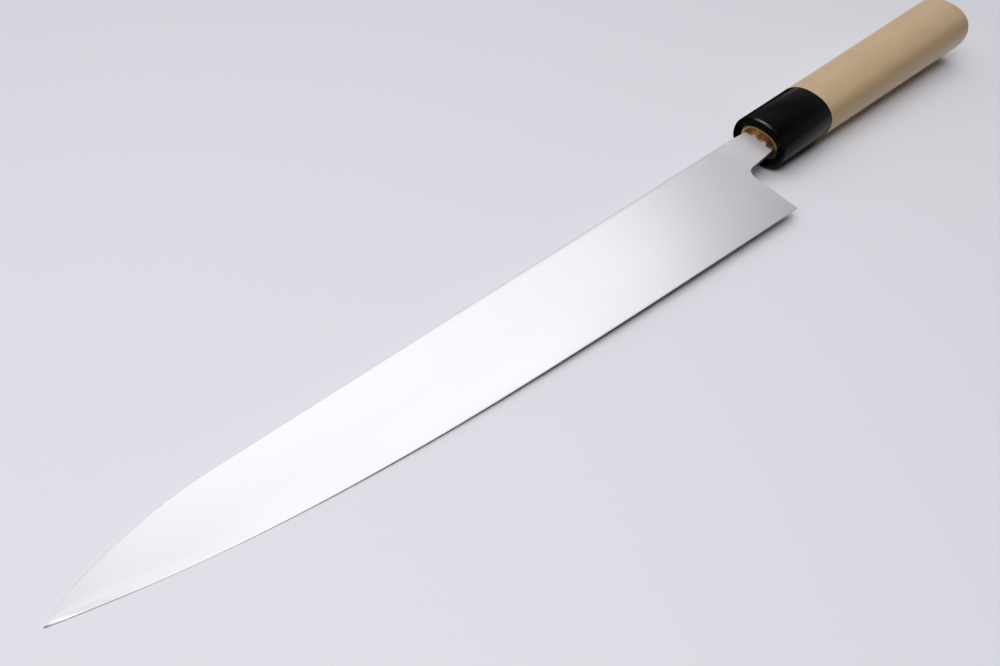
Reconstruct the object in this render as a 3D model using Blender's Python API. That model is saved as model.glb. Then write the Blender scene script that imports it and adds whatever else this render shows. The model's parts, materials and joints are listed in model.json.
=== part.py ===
"""Sujihiki slicing knife with a wooden handle, lying on its right side.

The knife is modelled straight, on its own axes, and then laid down:
  x runs along the handle, from the point of the blade to the butt
  y runs up the blade, from the cutting edge to the spine
  z runs through the blade, from its right face to its left face
These axes start at the centre of the ferrule's front face. Lengths are metres.
"""

import math

import bmesh
import bpy
import numpy
from mathutils import Matrix, Vector

# Outline of the blade
EDGE_LENGTH = 0.2680
HEEL_TO_FERRULE = 0.0170
HEEL_HEIGHT = 0.0402
HEEL_LEAN = math.radians(1.6)
SPINE_ABOVE_AXIS = 0.0075
SPINE_CLIMB = math.radians(0.23)
EDGE_TAPER = 0.0125
EDGE_SWEEP = 0.0166
EDGE_SWEEP_POWER = 4.3
POINT_LENGTH = 0.051
NOSE_DROP = 0.0017
NOSE_POWER = 12.0

# Grind of the blade: flats that taper, a convex stretch, and the final bevel
SPINE_THICKNESS = 0.0024
POINT_THICKNESS = 0.0014
TIP_THICKNESS = 0.0004
FLAT_LEAN = math.radians(1.0)
FLAT_HEIGHT = 0.018
BEVEL_THICKNESS = 0.00024
BEVEL_HEIGHT = 0.0007
CORNER_EASE = 0.00025

# Neck between heel and ferrule, and the tang inside the handle
NECK_TAPER_LENGTH = 0.008
NECK_ABOVE_AXIS = 0.00685
NECK_BELOW_AXIS = 0.00695
NECK_RISE = 0.0017
NECK_FILLET = 0.0044
TANG_THICKNESS = 0.0026
TANG_LENGTH = 0.098
TANG_POINT_LENGTH = 0.009
TANG_END_HEIGHT = 0.0050
TANG_END_THICKNESS = 0.0015
TANG_TIP_HEIGHT = 0.0016

# Handle and ferrule: one oval taper, half sizes at the front face and at the butt
HANDLE_LENGTH = 0.1380
FRONT_HALF_HEIGHT = 0.01250
FRONT_HALF_WIDTH = 0.00935
BUTT_HALF_HEIGHT = 0.01402
BUTT_HALF_WIDTH = 0.01102
OVAL_POWER = 2.2
BUTT_ROUND = 0.0018
FERRULE_LENGTH = 0.0313
FERRULE_ROUND = 0.0010
JOINT_EASE = 0.00015

# Mouth of the ferrule, the tenon in it, and the resin round the neck
BORE_HALF_HEIGHT = 0.00912
BORE_HALF_WIDTH = 0.00595
BORE_EASE = 0.0003
TENON_RECESS = 0.0009
TENON_EASE = 0.0003
RESIN_WALL_HEIGHT = 0.0005
RESIN_WALL_WIDTH = 0.0009
RESIN_DEPTH = 0.0060
RESIN_CROWN = 0.0004

# Clearances
FIT_GAP = 0.0003
RESIN_GAP = 0.00015
SLOT_END_GAP = 0.0015

# Counts of facets
OVAL_POINTS = 96
BLADE_STATIONS = 44
FLAT_ROWS = 4
CONVEX_ROWS = 6
FILLET_STEPS = 7
NECK_STATIONS = 5
TANG_STATIONS = 6
ROUND_STEPS = 5

# Densities in kilograms per cubic metre, for the way the knife comes to rest
STEEL_DENSITY = 7800.0
HORN_DENSITY = 1300.0
WOOD_DENSITY = 480.0
RESIN_DENSITY = 1070.0

# Faces that look this far to the right, or further, can be what the knife lies on
SIDE_FACE_LIMIT = math.radians(60.0)

HEEL_X = -HEEL_TO_FERRULE
TIP_X = HEEL_X - EDGE_LENGTH
POINT_X = TIP_X + POINT_LENGTH
TANG_MIDDLE = (NECK_ABOVE_AXIS - NECK_BELOW_AXIS) / 2


def clear_scene():
    for old in list(bpy.data.objects):
        bpy.data.objects.remove(old, do_unlink=True)


def make_material(name, colour, roughness, metallic=0.0):
    material = bpy.data.materials.new(name)
    material.use_nodes = True
    shader = material.node_tree.nodes["Principled BSDF"]
    shader.inputs["Base Color"].default_value = (*colour, 1.0)
    shader.inputs["Roughness"].default_value = roughness
    shader.inputs["Metallic"].default_value = metallic
    return material


def mix(start, end, share):
    return start + (end - start) * share


def smooth_step(share):
    share = min(max(share, 0.0), 1.0)
    return share * share * (3.0 - 2.0 * share)


def add_ring(bm, points):
    return [bm.verts.new(point) for point in points]


def bridge(bm, ring, other):
    """Joins two closed rings of as many points with quads."""
    count = len(ring)
    for index in range(count):
        following = (index + 1) % count
        bm.faces.new((ring[index], ring[following], other[following], other[index]))


def finish_object(bm, name, material, sharp_angle):
    bmesh.ops.recalc_face_normals(bm, faces=bm.faces)
    mesh = bpy.data.meshes.new(name)
    bm.to_mesh(mesh)
    bm.free()
    mesh.materials.append(material)
    mesh.shade_smooth()
    mesh.set_sharp_from_angle(angle=sharp_angle)
    piece = bpy.data.objects.new(name, mesh)
    bpy.context.collection.objects.link(piece)
    return piece


# Lines of the blade's outline

def spine_line(x):
    """Straight line of the spine, before it drops to the point."""
    return SPINE_ABOVE_AXIS - x * math.tan(SPINE_CLIMB)


def heel_bottom():
    return spine_line(HEEL_X) - HEEL_HEIGHT


def edge_y(x):
    """Cutting edge: a steady taper, with a sweep up to the point added to it."""
    share = max(0.0, HEEL_X - x) / EDGE_LENGTH
    return heel_bottom() + EDGE_TAPER * share + EDGE_SWEEP * share ** EDGE_SWEEP_POWER


def spine_y(x):
    """Spine: straight, then a parabola down to the point, steeper at its nose."""
    drop = spine_line(TIP_X) - edge_y(TIP_X) - NOSE_DROP
    share = max(0.0, POINT_X - x) / POINT_LENGTH
    return spine_line(x) - drop * share ** 2 - NOSE_DROP * share ** NOSE_POWER


def heel_x(y):
    """The heel's line leans a little to the point, going up from the corner."""
    return HEEL_X - (y - heel_bottom()) * math.tan(HEEL_LEAN)


# Lines of the neck and the tang

def neck_line(x):
    """Underside of the neck, between the heel and the ferrule."""
    return -NECK_BELOW_AXIS + x * NECK_RISE / HEEL_TO_FERRULE


def tang_share(x):
    return max(0.0, x) / (TANG_LENGTH - TANG_POINT_LENGTH)


def tang_half_height(x):
    if x <= TANG_LENGTH - TANG_POINT_LENGTH:
        return mix(NECK_ABOVE_AXIS + NECK_BELOW_AXIS, TANG_END_HEIGHT, tang_share(x)) / 2
    share = (x - TANG_LENGTH + TANG_POINT_LENGTH) / TANG_POINT_LENGTH
    return mix(TANG_END_HEIGHT, TANG_TIP_HEIGHT, share) / 2


def tang_half_thickness(x):
    return mix(TANG_THICKNESS, TANG_END_THICKNESS, min(tang_share(x), 1.0)) / 2


def tang_top(x):
    """Upper line of neck and tang, which leaves the spine just before the ferrule."""
    if x < 0.0:
        start = spine_line(-NECK_TAPER_LENGTH)
        return mix(NECK_ABOVE_AXIS, start, -x / NECK_TAPER_LENGTH)
    return TANG_MIDDLE + tang_half_height(x)


def neck_fillet():
    """Arc from the heel's line to the neck's underside: centre, start and end point."""
    lean = math.tan(HEEL_LEAN)
    slope = NECK_RISE / HEEL_TO_FERRULE
    corner_y = neck_line(heel_x(neck_line(HEEL_X)))
    corner = Vector((heel_x(corner_y), corner_y))
    down = Vector((lean, -1.0)).normalized()
    along = Vector((1.0, slope)).normalized()
    opening = down.angle(along)
    bisector = (down + along).normalized()
    centre = corner + bisector * (NECK_FILLET / math.sin(opening / 2))
    reach = NECK_FILLET / math.tan(opening / 2)
    start = corner + down * reach
    end = corner + along * reach
    return centre, start, end


def fillet_points():
    centre, start, end = neck_fillet()
    first = start - centre
    turn = first.angle_signed(end - centre)
    points = []
    for step in range(FILLET_STEPS + 1):
        angle = -turn * step / FILLET_STEPS
        points.append(centre + Matrix.Rotation(angle, 2) @ first)
    return points


# Thickness of the blade

def flat_plane(x, y):
    """Half thickness on the plane of the flat, which thins to point and edge."""
    straight = HEEL_X - POINT_X
    along = (SPINE_THICKNESS - POINT_THICKNESS) / 2 * (HEEL_X - x) / straight
    down = (spine_line(x) - y) * math.tan(FLAT_LEAN)
    return SPINE_THICKNESS / 2 - along - down


def flat_half_thickness(x, y):
    """The flat's plane as far as the point, where it is ground thinner still."""
    share = max(0.0, POINT_X - x) / POINT_LENGTH
    tip = TIP_THICKNESS / 2 / flat_plane(TIP_X, edge_y(TIP_X))
    return flat_plane(x, y) * mix(1.0, tip, share ** 2)


def ground_half_thickness(x, y, depth, flat_share, bevel_share, bevel_y):
    """Half thickness at a depth between spine (0) and edge (1) of its section."""
    half_thickness = flat_half_thickness(x, y)
    if depth <= flat_share:
        return half_thickness
    share = (depth - flat_share) / (bevel_share - flat_share)
    fall = flat_half_thickness(x, bevel_y) - BEVEL_THICKNESS / 2
    return half_thickness - fall * share ** 2


def blade_rows(neck_depth):
    """Depths of the lengthwise rows of the blade's faces, from the spine down."""
    ease = CORNER_EASE / HEEL_HEIGHT
    flat = FLAT_HEIGHT / HEEL_HEIGHT
    bevel = 1.0 - BEVEL_HEIGHT / HEEL_HEIGHT
    rows = [ease, neck_depth - ease, neck_depth]
    rows += [flat * step / FLAT_ROWS for step in range(FLAT_ROWS + 1)]
    rows += [mix(flat, bevel, step / CONVEX_ROWS) for step in range(1, CONVEX_ROWS + 1)]
    return sorted(rows), flat, bevel


def blade_station(top_x, edge_x, rows, flat, bevel):
    """One section of the blade: the points of its left face, from spine to bevel."""
    top = spine_y(top_x)
    bottom = edge_y(edge_x)
    bevel_y = mix(top, bottom, bevel)
    points = []
    for index, depth in enumerate(rows):
        x = mix(top_x, edge_x, depth)
        y = mix(top, bottom, depth)
        z = ground_half_thickness(x, y, depth, flat, bevel, bevel_y)
        if index == 0:
            z -= CORNER_EASE * (top - bottom) / HEEL_HEIGHT
        points.append(Vector((x, y, z)))
    return points, Vector((edge_x, bottom, 0.0))


def other_side(points):
    """The same points on the right face, in the order that closes a ring."""
    return [Vector((x, y, -z)) for x, y, z in reversed(points)]


def neck_sides(heel_face, rows):
    """Left face points of each section from the heel to the end of the tang."""
    last = len(heel_face) - 1
    shares = [row / rows[last] for row in rows[:last + 1]]
    arc = fillet_points()
    lower = [(point.x, point.y) for point in arc]
    for step in range(1, NECK_STATIONS + 1):
        x = mix(arc[-1].x, 0.0, step / NECK_STATIONS)
        lower.append((x, neck_line(x)))
    for step in range(1, TANG_STATIONS + 1):
        x = (TANG_LENGTH - TANG_POINT_LENGTH) * step / TANG_STATIONS
        lower.append((x, TANG_MIDDLE - tang_half_height(x)))
    lower.append((TANG_LENGTH, TANG_MIDDLE - tang_half_height(TANG_LENGTH)))

    top_start = heel_face[0].x
    sections = []
    for bottom_x, bottom_y in lower[1:]:
        reach = min(1.0, (bottom_x - arc[0].x) / (arc[-1].x - arc[0].x))
        top_x = mix(top_start + bottom_x - arc[0].x, bottom_x, smooth_step(reach))
        top_y = spine_y(top_x)
        if top_x > -NECK_TAPER_LENGTH:
            top_y = tang_top(top_x)
        blend = smooth_step((bottom_x - arc[0].x) / -arc[0].x)
        section = []
        for index, share in enumerate(shares):
            x = mix(top_x, bottom_x, share)
            y = mix(top_y, bottom_y, share)
            z = mix(heel_face[max(index, 1)].z, tang_half_thickness(bottom_x), blend)
            if index == 0:
                z -= CORNER_EASE
            if index == last:
                z -= CORNER_EASE * smooth_step(reach)
            section.append(Vector((x, y, z)))
        sections.append(section)
    return sections


def build_blade(material):
    """Blade, neck and tang as one loft of sections, from the point to the tang's end."""
    bm = bmesh.new()
    neck_start = fillet_points()[0]
    neck_depth = (spine_y(heel_x(spine_line(HEEL_X))) - neck_start.y) / HEEL_HEIGHT
    rows, flat, bevel = blade_rows(neck_depth)
    neck_row = rows.index(neck_depth)

    tip = bm.verts.new((TIP_X, edge_y(TIP_X), 0.0))
    previous = None
    for step in range(1, BLADE_STATIONS + 1):
        reach = (step / BLADE_STATIONS) ** 2
        edge_x = TIP_X + EDGE_LENGTH * reach
        top_x = TIP_X + (heel_x(spine_line(HEEL_X)) - TIP_X) * reach
        face, edge = blade_station(top_x, edge_x, rows, flat, bevel)
        ring = add_ring(bm, face + [edge] + other_side(face))
        if previous is None:
            for index in range(len(ring)):
                bm.faces.new((ring[index], ring[(index + 1) % len(ring)], tip))
        else:
            bridge(bm, previous, ring)
        previous = ring

    # The heel's end face, below the neck
    count = len(previous)
    bm.faces.new(previous[neck_row:count - neck_row])

    # Neck and tang go on from the upper rows of the heel's section
    ring = previous[:neck_row + 1] + previous[count - neck_row - 1:]
    for section in neck_sides(face[:neck_row + 1], rows):
        following = add_ring(bm, section + other_side(section))
        bridge(bm, ring, following)
        ring = following
    bm.faces.new(ring)
    return finish_object(bm, "blade", material, math.radians(25.0))


# Handle, ferrule and resin: ovals lofted along the handle's axis

def squared(value):
    """A sine or cosine drawn out towards its ends: power 2 is an ellipse, more is squarer."""
    return math.copysign(abs(value) ** (2.0 / OVAL_POWER), value)


def oval(x, half_height, half_width):
    """Points of an oval square to the handle's axis."""
    points = []
    for step in range(OVAL_POINTS):
        angle = math.tau * step / OVAL_POINTS
        up = half_height * squared(math.cos(angle))
        across = half_width * squared(math.sin(angle))
        points.append((x, up, across))
    return points


def grip_oval(x, inset=0.0):
    """The handle's outer oval, which swells evenly from ferrule to butt."""
    share = x / HANDLE_LENGTH
    half_height = mix(FRONT_HALF_HEIGHT, BUTT_HALF_HEIGHT, share)
    half_width = mix(FRONT_HALF_WIDTH, BUTT_HALF_WIDTH, share)
    return oval(x, half_height - inset, half_width - inset)


def slot(x, gap):
    """A rectangle that clears the tang by a gap, in as many points as an oval."""
    half_height = tang_half_height(x) + gap
    half_width = tang_half_thickness(x) + gap
    points = []
    for _, y, z in oval(x, math.sqrt(2.0), math.sqrt(2.0)):
        up = half_height * min(max(y, -1.0), 1.0)
        across = half_width * min(max(z, -1.0), 1.0)
        points.append((x, TANG_MIDDLE + up, across))
    return points


def rounded_end(x, radius, direction):
    """Outer ovals round an end of the handle, from its side to its flat face."""
    rings = []
    for step in range(ROUND_STEPS + 1):
        angle = math.pi / 2 * step / ROUND_STEPS
        along = x - direction * radius * (1.0 - math.sin(angle))
        rings.append(grip_oval(along, radius * (1.0 - math.cos(angle))))
    return rings


def loft(name, sections, material, closed):
    """Skins a run of ovals; a closed run is a sleeve, an open one is capped."""
    bm = bmesh.new()
    rings = [add_ring(bm, points) for points in sections]
    for ring, following in zip(rings, rings[1:]):
        bridge(bm, ring, following)
    if closed:
        bridge(bm, rings[-1], rings[0])
    else:
        bm.faces.new(rings[0])
        bm.faces.new(rings[-1])
    return finish_object(bm, name, material, math.radians(30.0))


def build_ferrule(material):
    sections = list(reversed(rounded_end(0.0, FERRULE_ROUND, -1.0)))
    sections.append(grip_oval(FERRULE_LENGTH - JOINT_EASE))
    sections.append(grip_oval(FERRULE_LENGTH, JOINT_EASE))
    sections.append(oval(FERRULE_LENGTH, BORE_HALF_HEIGHT, BORE_HALF_WIDTH))
    sections.append(oval(BORE_EASE, BORE_HALF_HEIGHT, BORE_HALF_WIDTH))
    sections.append(oval(0.0, BORE_HALF_HEIGHT + BORE_EASE, BORE_HALF_WIDTH + BORE_EASE))
    return loft("ferrule", sections, material, True)


def tenon_half_sizes():
    return BORE_HALF_HEIGHT - FIT_GAP, BORE_HALF_WIDTH - FIT_GAP


def pocket_half_sizes():
    half_height, half_width = tenon_half_sizes()
    return half_height - RESIN_WALL_HEIGHT, half_width - RESIN_WALL_WIDTH


def build_handle(material):
    """Grip and tenon in one, with the pocket for the resin and the tang's slot."""
    shoulder = FERRULE_LENGTH + FIT_GAP
    tenon_height, tenon_width = tenon_half_sizes()
    pocket_height, pocket_width = pocket_half_sizes()
    pocket_floor = TENON_RECESS + RESIN_DEPTH
    slot_end = TANG_LENGTH + SLOT_END_GAP
    point_start = TANG_LENGTH - TANG_POINT_LENGTH

    sections = list(reversed(rounded_end(HANDLE_LENGTH, BUTT_ROUND, 1.0)))
    sections.append(grip_oval(shoulder + JOINT_EASE))
    sections.append(grip_oval(shoulder, JOINT_EASE))
    sections.append(oval(shoulder, tenon_height, tenon_width))
    sections.append(oval(TENON_RECESS + TENON_EASE, tenon_height, tenon_width))
    sections.append(oval(TENON_RECESS, tenon_height - TENON_EASE, tenon_width - TENON_EASE))
    sections.append(oval(TENON_RECESS, pocket_height, pocket_width))
    sections.append(oval(pocket_floor, pocket_height, pocket_width))
    sections.append(slot(pocket_floor, FIT_GAP))
    sections.append(slot(point_start, FIT_GAP))
    sections.append([(slot_end, y, z) for _, y, z in slot(TANG_LENGTH, FIT_GAP)])
    return loft("handle", sections, material, False)


def build_tang_seal(material):
    pocket_height, pocket_width = pocket_half_sizes()
    half_height = pocket_height - RESIN_GAP
    half_width = pocket_width - RESIN_GAP
    back = TENON_RECESS + RESIN_DEPTH - RESIN_GAP
    front = TENON_RECESS - RESIN_CROWN
    sections = [oval(back, half_height, half_width)]
    sections.append(oval(TENON_RECESS, half_height, half_width))
    sections.append([(front, y, z) for _, y, z in slot(TENON_RECESS, RESIN_GAP)])
    sections.append(slot(back, RESIN_GAP))
    return loft("tang_seal", sections, material, True)


# The way the knife lies

def volume_and_centre(mesh):
    """Volume and centre of a closed mesh, from the wedges under its triangles."""
    mesh.calc_loop_triangles()
    volume = 0.0
    moment = Vector((0.0, 0.0, 0.0))
    for triangle in mesh.loop_triangles:
        a, b, c = (mesh.vertices[index].co for index in triangle.vertices)
        wedge = a.dot(b.cross(c)) / 6.0
        volume += wedge
        moment += (a + b + c) * (wedge / 4.0)
    return volume, moment / volume


def centre_of_mass(pieces):
    total = 0.0
    moment = Vector((0.0, 0.0, 0.0))
    for piece, density in pieces:
        volume, centre = volume_and_centre(piece.data)
        total += volume * density
        moment += centre * (volume * density)
    return moment / total


def resting_normal(pieces):
    """Direction of the ground, seen from the knife, when it lies on its right side.

    The knife rests on the face of its convex hull that holds the centre of mass
    lowest, which touches the ferrule's rim and the cutting edge near the point.
    """
    centre = centre_of_mass(pieces)
    hull = bmesh.new()
    for piece, _ in pieces:
        for vertex in piece.data.vertices:
            hull.verts.new(vertex.co)
    reach = numpy.array([vertex.co - centre for vertex in hull.verts])
    shell = bmesh.ops.convex_hull(hull, input=hull.verts, use_existing_faces=False)
    lowest = math.inf
    ground = None
    for face in shell["geom"]:
        if not isinstance(face, bmesh.types.BMFace):
            continue
        a, b, c = (vertex.co for vertex in face.verts)
        normal = (b - a).cross(c - a).normalized()
        if normal.dot(a - centre) < 0.0:
            normal.negate()
        height = (reach @ numpy.array(normal)).max()
        if -normal.z > math.cos(SIDE_FACE_LIMIT) and height < lowest:
            lowest = height
            ground = normal
    hull.free()
    return ground


def lay_down(pieces):
    """Parents the pieces to an empty that turns the knife and sets it on z = 0."""
    up = -resting_normal(pieces)
    along = Vector((1.0, 0.0, 0.0))
    along = (along - up * along.dot(up)).normalized()
    across = up.cross(along)
    turn = Matrix((along, across, up))
    corners = [turn @ vertex.co for piece, _ in pieces for vertex in piece.data.vertices]
    low = Vector([min(corner[axis] for corner in corners) for axis in range(3)])
    high = Vector([max(corner[axis] for corner in corners) for axis in range(3)])
    middle = (low + high) / 2
    shift = Vector((-middle.x, -middle.y, -low.z))

    rest = bpy.data.objects.new("resting_place", None)
    rest.empty_display_size = BUTT_HALF_HEIGHT
    bpy.context.collection.objects.link(rest)
    rest.matrix_world = Matrix.Translation(shift) @ turn.to_4x4()
    for piece, _ in pieces:
        piece.parent = rest


def main():
    clear_scene()
    steel = make_material("satin_steel", (0.78, 0.78, 0.79), 0.32, 1.0)
    horn = make_material("black_horn", (0.012, 0.012, 0.014), 0.2)
    wood = make_material("magnolia_wood", (0.46, 0.33, 0.205), 0.5)
    resin = make_material("amber_resin", (0.26, 0.11, 0.03), 0.18)
    pieces = [
        (build_blade(steel), STEEL_DENSITY),
        (build_ferrule(horn), HORN_DENSITY),
        (build_handle(wood), WOOD_DENSITY),
        (build_tang_seal(resin), RESIN_DENSITY),
    ]
    lay_down(pieces)


main()
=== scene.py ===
"""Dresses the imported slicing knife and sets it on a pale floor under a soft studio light.

Shapes are drawn on the knife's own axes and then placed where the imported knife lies:
  x runs along the handle, from the point of the blade to the butt
  y runs up the blade, from the cutting edge to the spine
  z runs through the blade, from its right face to its left face
These axes start at the centre of the ferrule's front face. Lengths are metres.
"""

import json
import math

import bmesh
import bpy
from mathutils import Matrix, Vector, noise


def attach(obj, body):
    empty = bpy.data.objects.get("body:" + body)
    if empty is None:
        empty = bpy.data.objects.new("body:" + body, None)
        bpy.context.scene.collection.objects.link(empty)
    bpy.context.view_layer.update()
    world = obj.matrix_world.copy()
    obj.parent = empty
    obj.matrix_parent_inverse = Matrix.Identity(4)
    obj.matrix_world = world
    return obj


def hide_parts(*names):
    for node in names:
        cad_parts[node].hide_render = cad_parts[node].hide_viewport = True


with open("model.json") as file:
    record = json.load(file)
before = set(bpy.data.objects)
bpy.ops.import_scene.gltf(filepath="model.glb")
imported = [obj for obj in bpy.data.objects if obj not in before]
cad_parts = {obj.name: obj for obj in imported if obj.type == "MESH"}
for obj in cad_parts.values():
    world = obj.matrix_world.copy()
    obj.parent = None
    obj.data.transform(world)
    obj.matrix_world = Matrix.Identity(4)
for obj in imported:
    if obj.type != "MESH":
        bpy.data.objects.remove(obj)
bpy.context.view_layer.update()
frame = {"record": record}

# Outline of the blade
EDGE_LENGTH = 0.2680
HEEL_TO_FERRULE = 0.0170
HEEL_HEIGHT = 0.0402
HEEL_LEAN = math.radians(1.6)
SPINE_ABOVE_AXIS = 0.0075
SPINE_CLIMB = math.radians(0.23)
EDGE_TAPER = 0.0125
EDGE_SWEEP = 0.0166
EDGE_SWEEP_POWER = 4.3
POINT_LENGTH = 0.051
NOSE_DROP = 0.0017
NOSE_POWER = 12.0

# Grind of the blade
SPINE_THICKNESS = 0.0024
POINT_THICKNESS = 0.0014
TIP_THICKNESS = 0.0004
FLAT_LEAN = math.radians(1.0)
FLAT_HEIGHT = 0.018
BEVEL_THICKNESS = 0.00012
BEVEL_HEIGHT = 0.00035
BEVEL_BLEND = 0.00012
CORNER_EASE = 0.00025
BLADE_SHARP_ANGLE = math.radians(32.0)

# Neck and tang
NECK_TAPER_LENGTH = 0.008
NECK_ABOVE_AXIS = 0.00685
NECK_BELOW_AXIS = 0.00695
NECK_RISE = 0.0017
NECK_FILLET = 0.0044
TANG_THICKNESS = 0.0026
TANG_LENGTH = 0.098
TANG_POINT_LENGTH = 0.009
TANG_END_HEIGHT = 0.0050
TANG_END_THICKNESS = 0.0015
TANG_TIP_HEIGHT = 0.0016
WEDGE_END = 0.012

# Handle and ferrule
HANDLE_LENGTH = 0.1380
FRONT_HALF_HEIGHT = 0.01250
FRONT_HALF_WIDTH = 0.00935
BUTT_HALF_HEIGHT = 0.01402
BUTT_HALF_WIDTH = 0.01102
OVAL_POWER = 2.2
BUTT_ROUND = 0.0018
FERRULE_LENGTH = 0.0313
FERRULE_ROUND = 0.0010
JOINT_EASE = 0.00012
JOINT_GAP = 0.00004
FERRULE_SHARP_ANGLE = math.radians(40.0)
HANDLE_SHARP_ANGLE = math.radians(35.0)

# Mouth of the ferrule
BORE_HALF_HEIGHT = 0.00912
BORE_HALF_WIDTH = 0.00595
BORE_EASE = 0.0003
FIT_GAP = 0.00006
TENON_RECESS = 0.0009
TENON_EASE = 0.00025
TENON_ROUGHNESS = 0.00008
TENON_MARKS_PER_METRE = 2500.0
POCKET_HALF_HEIGHT = 0.0077
POCKET_HALF_WIDTH = 0.0048
POCKET_WOBBLE = 0.00022
POCKET_MARKS_PER_METRE = 900.0
RESIN_DEPTH = 0.0060
RESIN_SAG = 0.00035
RESIN_CLIMB = 0.00075
RESIN_CLIMB_WIDTH = 0.0004
RESIN_LUMPS = 0.00022
RESIN_LUMPS_PER_METRE = 700.0
RESIN_LUMPS_SHIFT = Vector((3.1, 0.0, 0.0))
RESIN_RIM_SHARE = 0.25
RESIN_SHARP_ANGLE = math.radians(60.0)

# Counts of facets; the blade's stations lie closer together towards the point
OVAL_POINTS = 192
BLADE_STATIONS = 170
BLADE_CROWDING = 1.6
CORNER_STEPS = 4
FLAT_ROWS = 10
CONVEX_ROWS = 16
FILLET_STEPS = 20
NECK_STATIONS = 14
TANG_STATIONS = 16
GRIP_STATIONS = 30
ROUND_STEPS = 12
TENON_STEPS = 3
MOUTH_STEPS = 10

# An eased corner is cut twice; the ring between both cuts is this share of the ease from each face
EASE_MIDDLE = 0.3

# Places along the knife and shares of the blade's height, worked out from the sizes above
HEEL_X = -HEEL_TO_FERRULE
TIP_X = HEEL_X - EDGE_LENGTH
POINT_X = TIP_X + POINT_LENGTH
TANG_MIDDLE = (NECK_ABOVE_AXIS - NECK_BELOW_AXIS) / 2
FLAT_SHARE = FLAT_HEIGHT / HEEL_HEIGHT
BEVEL_SHARE = 1.0 - BEVEL_HEIGHT / HEEL_HEIGHT

# The meshes keep the knife's own axes under this name, and the materials read them
AXES_ATTRIBUTE = "knife_axes"

# Points closer together than this are one point
SAME_POINT = 2e-8


def mix(start, end, share):
    return start + (end - start) * share


def smooth_step(share):
    share = min(max(share, 0.0), 1.0)
    return share * share * (3.0 - 2.0 * share)


def knife_matrix():
    """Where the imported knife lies, from the three flat faces that its record names."""
    mounts = {mount["name"]: mount for mount in frame["record"]["mounts"]}
    along = Vector(mounts["butt_face"]["axis"]).normalized()
    left = Vector(mounts["blade_left_flat"]["axis"])
    right = Vector(mounts["blade_right_flat"]["axis"])
    across = (left - right).cross(along).normalized()
    up = along.cross(across)
    origin = Vector(mounts["butt_face"]["pos_m"]) - along * HANDLE_LENGTH
    turn = Matrix((along, across, up)).transposed()
    return Matrix.Translation(origin) @ turn.to_4x4()


knife = knife_matrix()


# Meshes

def bridge(first, second):
    """Faces between two rings of as many points."""
    count = len(first)
    faces = []
    for index in range(count):
        following = (index + 1) % count
        faces.append((first[index], first[following], second[following], second[index]))
    return faces


def ring_mesh(name, sections, material, sharp_angle, closed):
    """Skins rings of as many points; a closed run is a sleeve, an open one is capped."""
    count = len(sections[0])
    points = [point for section in sections for point in section]
    rings = [range(start, start + count) for start in range(0, len(points), count)]
    faces = []
    for first, second in zip(rings, rings[1:]):
        faces += bridge(first, second)
    if closed:
        faces += bridge(rings[-1], rings[0])
    else:
        faces.append(tuple(reversed(rings[0])))
        faces.append(tuple(rings[-1]))
    return place(name, points, faces, material, sharp_angle)


def turn_outwards(mesh):
    """Joins the points that fall together and turns every face of a closed mesh outwards."""
    skin = bmesh.new()
    skin.from_mesh(mesh)
    bmesh.ops.remove_doubles(skin, verts=skin.verts, dist=SAME_POINT)
    bmesh.ops.recalc_face_normals(skin, faces=skin.faces)
    skin.to_mesh(mesh)
    skin.free()


def place(name, points, faces, material, sharp_angle):
    """Makes a mesh where the knife lies; its points keep the knife's axes as an attribute."""
    mesh = bpy.data.meshes.new(name)
    mesh.from_pydata([tuple(knife @ point) for point in points], [], faces)
    axes = mesh.attributes.new(AXES_ATTRIBUTE, "FLOAT_VECTOR", "POINT")
    axes.data.foreach_set("vector", [value for point in points for value in point])
    turn_outwards(mesh)
    mesh.materials.append(material)
    mesh.shade_smooth()
    mesh.set_sharp_from_angle(angle=sharp_angle)
    piece = bpy.data.objects.new(name, mesh)
    bpy.context.scene.collection.objects.link(piece)
    return piece


# Lines of the blade, the neck and the tang

def spine_line(x):
    """The spine's straight line, without the drop to the point."""
    return SPINE_ABOVE_AXIS - x * math.tan(SPINE_CLIMB)


def heel_bottom():
    return spine_line(HEEL_X) - HEEL_HEIGHT


def edge_y(x):
    """The cutting edge: a straight taper and a sweep that grows towards the point."""
    share = max(0.0, HEEL_X - x) / EDGE_LENGTH
    return heel_bottom() + EDGE_TAPER * share + EDGE_SWEEP * share ** EDGE_SWEEP_POWER


def spine_y(x):
    """The spine, which curves down to the point and rounds off in a small nose."""
    drop = spine_line(TIP_X) - edge_y(TIP_X) - NOSE_DROP
    share = max(0.0, POINT_X - x) / POINT_LENGTH
    return spine_line(x) - drop * share ** 2 - NOSE_DROP * share ** NOSE_POWER


def heel_x(y):
    """The heel's end face, which leans towards the point as it climbs."""
    return HEEL_X - (y - heel_bottom()) * math.tan(HEEL_LEAN)


def neck_line(x):
    """The underside of the neck."""
    return -NECK_BELOW_AXIS + x * NECK_RISE / HEEL_TO_FERRULE


def tang_share(x):
    return max(0.0, x) / (TANG_LENGTH - TANG_POINT_LENGTH)


def tang_half_height(x):
    if x <= TANG_LENGTH - TANG_POINT_LENGTH:
        return mix(NECK_ABOVE_AXIS + NECK_BELOW_AXIS, TANG_END_HEIGHT, tang_share(x)) / 2
    share = (x - TANG_LENGTH + TANG_POINT_LENGTH) / TANG_POINT_LENGTH
    return mix(TANG_END_HEIGHT, TANG_TIP_HEIGHT, share) / 2


def tang_half_thickness(x):
    return mix(TANG_THICKNESS, TANG_END_THICKNESS, min(tang_share(x), 1.0)) / 2


def tang_top(x):
    """The top of the tang, and of the neck's last stretch before the ferrule."""
    if x < 0.0:
        start = spine_line(-NECK_TAPER_LENGTH)
        return mix(NECK_ABOVE_AXIS, start, -x / NECK_TAPER_LENGTH)
    return TANG_MIDDLE + tang_half_height(x)


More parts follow.
